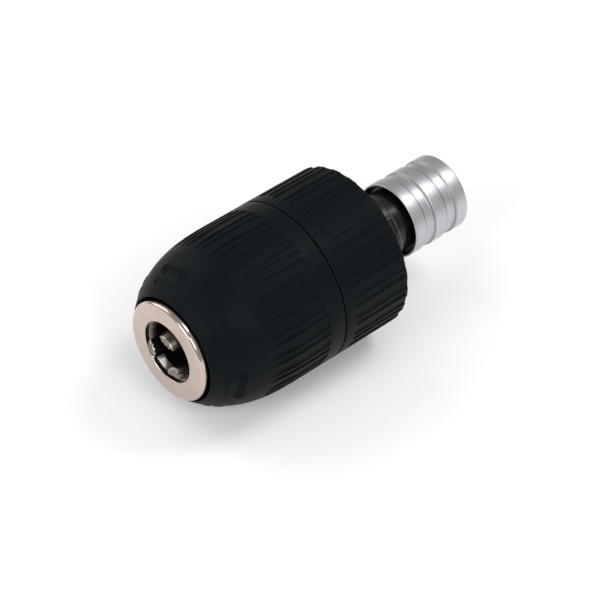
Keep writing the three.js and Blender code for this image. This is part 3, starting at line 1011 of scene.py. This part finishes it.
def build_jaw():
    """One jaw on the upper side, with thread teeth on its back and a bevelled nose."""
    sizes = settings("chuck_jaws")
    radius = sizes.radius
    root = radius - 0.38
    spare, thread_start = -2, 8.5
    thread = zigzag(thread_start, JAW_LONG - 0.8, 18, (radius, radius), (root, root))
    outline = [(0, spare), (radius, spare), (radius, thread_start - 0.3)] + thread
    outline += [(radius - 0.5, JAW_LONG), (0, JAW_LONG)]
    jaw = turned("jaw_blank", outline, 64, closed=False, degrees=25)
    plain = rod("jaw_side", radius, spare, JAW_LONG - 0.2, 0.3, 64)
    edit(plain)
    bpy.ops.mesh.bisect(plane_co=(0, 0, AXIS_Z + 0.9 * MM), plane_no=(0, 0, 1), clear_outer=True,
                        use_fill=True)
    leave_edit()
    cut(jaw, plain, "UNION")
    moved(jaw, slanted())
    edit(jaw)
    bpy.ops.mesh.bisect(plane_co=(0, station(JAW_FRONT), 0), plane_no=(0, -1, 0), clear_outer=True,
                        use_fill=True)
    pick(jaw, lambda face: face.normal.y < -0.99, "FACE")
    bpy.ops.mesh.bevel(offset=0.1 * MM, segments=2, affect="EDGES")
    leave_edit()
    cut(jaw, grip_cutter())
    return smooth(jaw, 25)


def build_jaws():
    sizes = settings("chuck_jaws")
    first = build_jaw()
    for k, body in enumerate(("jaw_a", "jaw_b", "jaw_c")):
        jaw = copy_of(first, f"jaw_{k + 1}_steel")
        moved(jaw, about_axis(sizes.phase + k * 2 * math.pi / 3))
        finish_piece(jaw, body, f"jaw_{k + 1}")
    bpy.data.objects.remove(first)


# ---- Nut and bearing ----

def build_nut():
    """The two nut halves with their slanted thread, and the band round them."""
    sizes = settings("chuck_jaws")
    back = sizes.radius / math.cos(sizes.tilt) + 0.15
    slope = math.tan(sizes.tilt)
    near, far = (sizes.axis_radius + (s - JAW_FRONT) * slope + back for s in (NUT_START, NUT_END))
    thread = zigzag(NUT_START + 0.3, NUT_END - 0.3, 4, (near + 0.45, far + 0.35), (near, far))
    outer = node_radius("nut_band") - 1.4
    edge = 0.25
    outline = [(outer - edge, NUT_START), (outer, NUT_START + edge), (outer, NUT_END - edge),
               (outer - edge, NUT_END), (far + 0.4, NUT_END)] + thread[::-1] + [(near + 0.4, NUT_START)]
    whole = turned("nut_whole", outline, 160, degrees=25)
    split = 0.15 * MM
    for side, label in ((-1, "left"), (1, "right")):
        half = copy_of(whole, f"nut_half_{label}_steel")
        edit(half)
        bpy.ops.mesh.bisect(plane_co=(side * split, 0, 0), plane_no=(-side, 0, 0), clear_outer=True,
                            use_fill=True)
        leave_edit()
        smooth(half, 25)
        finish_piece(half, "front_sleeve_group", f"nut_half_{label}")
    bpy.data.objects.remove(whole)
    band = ring("nut_band_steel", outer + 0.05, node_radius("nut_band"), NUT_START, NUT_END, 0.25)
    finish_piece(band, "front_sleeve_group", "nut_band")


def race_outline(start, end, track):
    """A washer with a shallow ball track in the face at the track's station."""
    inner, outer = 15.0, node_radius("front_race")
    face, flat = (end, start) if track > end else (start, end)
    reach = 1.22
    offset = abs(track - face)
    half = math.sqrt(max(0.0, reach ** 2 - offset ** 2))
    sign = 1 if track > end else -1
    groove = []
    for k in range(9):
        x = half * (1 - 2 * k / 8)
        depth = math.sqrt(reach ** 2 - x * x) - offset
        groove.append((BALL_CIRCLE_R + x, face - sign * depth))
    back, front = 0.12, 0.1
    outer_side = [(inner + back, flat), (outer - back, flat), (outer, flat + sign * back),
                  (outer, face - sign * front), (outer - front, face)]
    inner_side = [(inner + front, face), (inner, face - sign * front), (inner, flat + sign * back)]
    return outer_side + groove + inner_side


def ball(name, radius, angle, path, at):
    """A polished ball at an angle, radius and station."""
    steps = 14
    outline = [(radius * math.sin(math.pi * k / steps), -radius * math.cos(math.pi * k / steps))
               for k in range(steps + 1)]
    piece = turned(name, outline, 28, closed=False, degrees=60)
    moved(piece, Matrix.Translation((0, at * MM, path * MM)))
    return moved(piece, about_axis(angle))


def build_bearing():
    front, rear = node_span("front_race"), node_span("rear_race")
    cage_span = node_span("bearing_cage")
    track = sum(cage_span) / 2
    shoulder = 0.22
    race = turned("front_race_steel", race_outline(front[0], front[1] + shoulder, track), 160)
    finish_piece(race, "front_sleeve_group", "front_race")
    race = turned("rear_race_steel", race_outline(rear[0] - shoulder, rear[1], track), 160)
    finish_piece(race, "frame", "rear_race")
    count = sum(name.startswith("bearing_ball") for name in frame["nodes"])
    cage = ring("bearing_cage_brass", 15.3, 18.3, *cage_span, 0.2, 160)
    hole = rod("hole_cut", 1.3, cage_span[0] - 1, cage_span[1] + 1, steps=28)
    moved(hole, Matrix.Translation((0, 0, BALL_CIRCLE_R * MM)))
    cut(cage, around(hole, count, 0))
    smooth(cage, 30)
    finish_piece(cage, "bearing_group", "bearing_cage")
    for k in range(count):
        turn = 2 * math.pi * k / count
        piece = ball(f"bearing_ball_{k + 1}_steel", 1.2, turn, BALL_CIRCLE_R, track)
        finish_piece(piece, "bearing_group", f"bearing_ball_{k + 1}")


# ---- Rear coupling ----

def build_hub():
    """The hub: flange with its stepped pad, neck, tail with the clip's groove, and hexagon socket."""
    stub, flange_start, clip_r = 6.35, 56.55, 6.9
    clip_start, clip_end = CLIP_GROOVE
    outline = rounded([
        (0, HUB_START), (stub - 0.65, HUB_START, 0), (stub, HUB_START + 0.65, 0), (stub, flange_start, 0.1),
        (HUB_R, flange_start, 0.3), (HUB_R, HUB_FLANGE_END, 0.45), (NECK_R, HUB_FLANGE_END, 0.3),
        (NECK_R, TAIL_START, 0.3), (TAIL_R, TAIL_START, 0.15), (TAIL_R, clip_start, 0.06),
        (clip_r, clip_start, 0.05), (clip_r, clip_end, 0.05), (TAIL_R, clip_end, 0.06),
        (TAIL_R, HUB_END, 0.25), (0, HUB_END)], steps=4, closed=False)
    hub = turned("coupling_hub_black", outline, 160, closed=False)
    pad_root, pad_start, step_r = 9.4, 58.4, PAD_R - 0.18
    pad = turned("hub_pad", rounded([
        (pad_root, pad_start), (PAD_R, pad_start), (PAD_R, PAD_STEP), (step_r, PAD_STEP + 0.12),
        (step_r, PAD_END), (pad_root, PAD_END)], 0.06), 160)
    edit(pad)
    bpy.ops.mesh.bisect(plane_co=(0, 0, AXIS_Z), plane_no=PAD_SQUARE, clear_inner=True, use_fill=True)
    leave_edit()
    cut(hub, pad, "UNION")
    tapping_r, tapping_end = 3.05, 61.2
    cut(hub, rod("tapping_cut", tapping_r, HUB_START - 1, tapping_end, steps=40))
    socket_flats, socket_start = 11, 70
    cut(hub, hex_bar("socket_cut", socket_flats, socket_start, HUB_END + 1))
    at = sum(node_span("locking_ball_1")) / 2
    window_r, window_depth = 1.35, 4
    clear_selection()
    bpy.ops.mesh.primitive_cylinder_add(
        vertices=32, radius=window_r * MM, depth=window_depth * MM,
        location=(0, station(at), AXIS_Z + 7 * MM))
    window = place_down(bpy.context.object)
    cut(hub, around(window, 3, 0))
    smooth(hub, 30)
    return finish_piece(hub, "frame", "coupling_hub")


def build_screw():
    head, end = node_span("retaining_screw")
    seat, head_r, shank, root = 44.6, 4.9, 2.95, 2.55
    thread = zigzag(seat + 1.2, end - 0.8, 13, (shank, shank), (root, root))
    outline = [(0, head), (head_r - 0.6, head), (head_r - 0.15, head + 0.15), (head_r, head + 0.5),
               (head_r, seat - 0.1), (head_r - 0.1, seat), (shank, seat), (shank, seat + 0.6)]
    outline += thread + [(2.3, end), (0, end)]
    screw = turned("retaining_screw_steel", outline, 72, closed=False, degrees=28)
    cut(screw, hex_bar("recess_cut", 4, head - 1, head + 2))
    smooth(screw, 28)
    return finish_piece(screw, "frame", "retaining_screw")


def build_collar():
    """The collar, with grooves that are steep in front and slope behind."""
    outer, lip, rear_r, spring_r, slide = 10.1, COLLAR_LIP_R, 8.9, 9.0, TAIL_R + 0.1
    outline = [(lip, COLLAR_START, 0.18), (outer, COLLAR_START, 0.22)]
    for start, end in COLLAR_GROOVES:
        outline += [(outer, start, 0.08), (lip, start + 0.04, 0.06), (lip, end - 0.2, 0.3),
                    (outer, end + 0.15, 0.3)]
    release, land, stop = 8.45, 80.6, 88.2
    outline += [
        (outer, COLLAR_END, 0.4), (rear_r, COLLAR_END, 0.2), (rear_r, stop, 0.1), (slide, stop, 0.12),
        (slide, stop - 0.8, 0.05), (release, stop - 0.9, 0.05), (release, stop - 1.9, 0.2),
        (slide, land + 1.2, 0.2), (slide, land, 0.1), (spring_r, land, 0.1),
        (spring_r, COLLAR_START + 2.3, 0.05), (lip, COLLAR_START + 2.2, 0.1)]
    collar = turned("release_collar_satin", rounded(outline, steps=4), 192)
    return finish_piece(collar, "collar", "release_collar")


def build_spring():
    """The collar spring: a round wire wound with the Screw modifier and closed at its ends."""
    wire, coil, turns = 0.33, 8.2, 4
    start, end = node_span("collar_spring")
    clear_selection()
    bpy.ops.mesh.primitive_circle_add(
        vertices=12, radius=wire * MM, fill_type="NOTHING", rotation=(0, math.pi / 2, 0),
        location=(0, 0, coil * MM))
    spring = place_down(bpy.context.object)
    rise = (end - start - 2 * wire) * MM
    modify(spring, "SCREW", axis="Y", angle=2 * math.pi, iterations=turns, screw_offset=rise / turns,
           steps=40, render_steps=40, use_merge_vertices=False)
    moved(spring, Matrix.Translation((0, station(start + wire), AXIS_Z)))
    edit(spring)
    bpy.ops.mesh.select_mode(type="EDGE")
    bpy.ops.mesh.select_all(action="DESELECT")
    bpy.ops.mesh.select_non_manifold()
    bpy.ops.mesh.fill_holes(sides=0)
    face_out()
    leave_edit()
    smooth(name_piece(spring, "collar_spring_wire"), 40)
    finish_piece(spring, "frame", "collar_spring")
    travel = next(joint["range_m"][1] for joint in frame["joints"] if joint["name"] == "collar_slide")
    station(start)
    1 - travel / ((end - start) * MM)
    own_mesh(spring)
    return spring


def build_coupling_fittings():
    """The spring's seat, the collar's stop ring and the three locking balls."""
    seat = ring("spring_seat_washer", 7.45, 8.85, *node_span("spring_seat"), 0.12, 96)
    finish_piece(seat, "frame", "spring_seat")
    span = node_span("retaining_ring")
    clip = ring("retaining_ring_steel", 6.95, 8.5, *span, 0.1, 128)
    clear_selection()
    bpy.ops.mesh.primitive_cube_add(size=1, location=(0, station(sum(span) / 2), AXIS_Z - 8 * MM),
                                    scale=(4 * MM, 3 * MM, 6 * MM))
    cut(clip, place_down(bpy.context.object))
    smooth(clip, 30)
    finish_piece(clip, "frame", "retaining_ring")
    at = sum(node_span("locking_ball_1")) / 2
    for k, body in enumerate(("lock_a", "lock_b", "lock_c")):
        turn = 2 * math.pi * k / 3
        piece = ball(f"locking_ball_{k + 1}_steel", 1.25, turn, LOCK_CIRCLE_R, at)
        finish_piece(piece, body, f"locking_ball_{k + 1}")


# ---- Stage ----

def soft_light(name, place, aim, size, power):
    """A square area light turned towards a point."""
    data = bpy.data.lights.new(name, "AREA")
    data.size = size
    data.energy = power
    light = bpy.data.objects.new(name, data)
    light.location = place
    light.rotation_euler = (Vector(aim) - Vector(place)).to_track_quat("-Z", "Y").to_euler()
    bpy.context.collection.objects.link(light)
    return light


def build_stage():
    stage = settings("chuck_stage")
    clear_selection()
    bpy.ops.mesh.primitive_plane_add(size=3.0)
    floor = name_piece(bpy.context.object, "studio_floor")
    floor.data.materials.append(floor_paper(stage.floor).material)
    az, el = stage.azimuth, stage.elevation
    right = Vector((math.cos(az), math.sin(az), 0))
    back = Vector((math.sin(az) * math.cos(el), -math.cos(az) * math.cos(el), math.sin(el)))
    up = back.cross(right)
    nose = Vector((0, NOSE_Y, AXIS_Z))
    across, above = 31.21, 12.32
    aim = nose + right * across * MM + up * above * MM
    camera = bpy.data.objects.new("camera", bpy.data.cameras.new("camera"))
    camera.data.lens = stage.lens
    camera.data.sensor_width = 36.0
    camera.data.clip_start = 0.02
    camera.location = aim + back * stage.distance * MM
    camera.rotation_euler = Matrix((right, up, back)).transposed().to_euler()
    bpy.context.collection.objects.link(camera)
    bpy.context.scene.camera = camera
    world = bpy.data.worlds.new("studio")
    world.use_nodes = True
    world.node_tree.nodes["Background"].inputs["Color"].default_value = (1, 1, 1, 1)
    world.node_tree.nodes["Background"].inputs["Strength"].default_value = 0.42
    bpy.context.scene.world = world
    bpy.context.scene.view_settings.view_transform = "Standard"
    centre = Vector((0, 0, AXIS_Z))
    soft_light("back_light", (0.24, 0.48, 0.80), centre, 0.36, 2.6)
    soft_light("front_light", (0.12, -0.85, 0.52), centre, 0.45, 3.4)
    soft_light("side_light", (0.76, -0.17, 0.62), centre, 0.40, 3.0)
    soft_light("fill_light", (-0.75, -0.20, 0.60), centre, 0.80, 3.4)


# ---- Operators, one for each piece or group of like pieces ----

class CHUCK_OT_stage(bpy.types.Operator):
    """Add the floor, the lights and the camera"""
    bl_idname = "chuck.stage"
    bl_label = "Stage"

    def execute(self, context):
        build_stage()
        return {"FINISHED"}


class CHUCK_OT_front_sleeve(bpy.types.Operator):
    """Add the ribbed front sleeve that is turned by hand"""
    bl_idname = "chuck.front_sleeve"
    bl_label = "Front sleeve"

    def execute(self, context):
        build_front_sleeve()
        return {"FINISHED"}


class CHUCK_OT_marks(bpy.types.Operator):
    """Add the raised turning marks on the front sleeve"""
    bl_idname = "chuck.marks"
    bl_label = "Marks"

    def execute(self, context):
        build_marks()
        return {"FINISHED"}


class CHUCK_OT_rear_sleeve(bpy.types.Operator):
    """Add the ribbed rear sleeve that is held"""
    bl_idname = "chuck.rear_sleeve"
    bl_label = "Rear sleeve"

    def execute(self, context):
        build_rear_sleeve()
        return {"FINISHED"}


class CHUCK_OT_nose_ring(bpy.types.Operator):
    """Add the nickel ring round the mouth"""
    bl_idname = "chuck.nose_ring"
    bl_label = "Nose ring"

    def execute(self, context):
        build_nose_ring()
        return {"FINISHED"}


class CHUCK_OT_body(bpy.types.Operator):
    """Add the steel body with its slanted jaw bores"""
    bl_idname = "chuck.body"
    bl_label = "Body"

    def execute(self, context):
        build_body()
        return {"FINISHED"}


class CHUCK_OT_jaws(bpy.types.Operator):
    """Add the three toothed jaws"""
    bl_idname = "chuck.jaws"
    bl_label = "Jaws"

    def execute(self, context):
        build_jaws()
        return {"FINISHED"}


class CHUCK_OT_nut(bpy.types.Operator):
    """Add the split nut and its band"""
    bl_idname = "chuck.nut"
    bl_label = "Nut"

    def execute(self, context):
        build_nut()
        return {"FINISHED"}


class CHUCK_OT_bearing(bpy.types.Operator):
    """Add the thrust bearing: races, cage and balls"""
    bl_idname = "chuck.bearing"
    bl_label = "Bearing"

    def execute(self, context):
        build_bearing()
        return {"FINISHED"}


class CHUCK_OT_hub(bpy.types.Operator):
    """Add the black coupling hub with its hexagon socket"""
    bl_idname = "chuck.hub"
    bl_label = "Coupling hub"

    def execute(self, context):
        build_hub()
        return {"FINISHED"}


class CHUCK_OT_screw(bpy.types.Operator):
    """Add the left-handed retaining screw"""
    bl_idname = "chuck.screw"
    bl_label = "Retaining screw"

    def execute(self, context):
        build_screw()
        return {"FINISHED"}


class CHUCK_OT_collar(bpy.types.Operator):
    """Add the grooved release collar"""
    bl_idname = "chuck.collar"
    bl_label = "Release collar"

    def execute(self, context):
        build_collar()
        return {"FINISHED"}


class CHUCK_OT_spring(bpy.types.Operator):
    """Add the collar spring"""
    bl_idname = "chuck.spring"
    bl_label = "Collar spring"

    def execute(self, context):
        build_spring()
        return {"FINISHED"}


class CHUCK_OT_fittings(bpy.types.Operator):
    """Add the spring seat, stop ring and locking balls"""
    bl_idname = "chuck.fittings"
    bl_label = "Coupling fittings"

    def execute(self, context):
        build_coupling_fittings()
        return {"FINISHED"}


OPERATORS = (
    CHUCK_OT_stage, CHUCK_OT_front_sleeve, CHUCK_OT_marks, CHUCK_OT_rear_sleeve, CHUCK_OT_nose_ring,
    CHUCK_OT_body, CHUCK_OT_jaws, CHUCK_OT_nut, CHUCK_OT_bearing, CHUCK_OT_hub, CHUCK_OT_screw,
    CHUCK_OT_collar, CHUCK_OT_spring, CHUCK_OT_fittings,
)


class CHUCK_PT_sidebar(bpy.types.Panel):
    """Lists the chuck's settings and pieces"""
    bl_idname = "CHUCK_PT_sidebar"
    bl_label = "Drill chuck"
    bl_space_type = "VIEW_3D"
    bl_region_type = "UI"
    bl_category = "Chuck"

    def draw(self, context):
        scene = context.scene
        for group in (scene.chuck_sleeves, scene.chuck_jaws, scene.chuck_colours, scene.chuck_stage):
            for key in group.__annotations__:
                self.layout.prop(group, key)
        for operator in OPERATORS:
            self.layout.operator(operator.bl_idname)


GROUPS = {
    "chuck_sleeves": ChuckSleeveSizes,
    "chuck_jaws": ChuckJawSizes,
    "chuck_colours": ChuckColours,
    "chuck_stage": ChuckStageSettings,
}


def register():
    for name, group in GROUPS.items():
        bpy.utils.register_class(group)
        setattr(bpy.types.Scene, name, bpy.props.PointerProperty(type=group))
    for operator in OPERATORS:
        bpy.utils.register_class(operator)
    bpy.utils.register_class(CHUCK_PT_sidebar)


def unregister():
    bpy.utils.unregister_class(CHUCK_PT_sidebar)
    for operator in reversed(OPERATORS):
        bpy.utils.unregister_class(operator)
    for name, group in reversed(GROUPS.items()):
        delattr(bpy.types.Scene, name)
        bpy.utils.unregister_class(group)


def main():
    register()
    for operator in OPERATORS:
        family, action = operator.bl_idname.split(".")
        getattr(getattr(bpy.ops, family), action)()
    clear_selection()


if __name__ == "__main__":
    main()
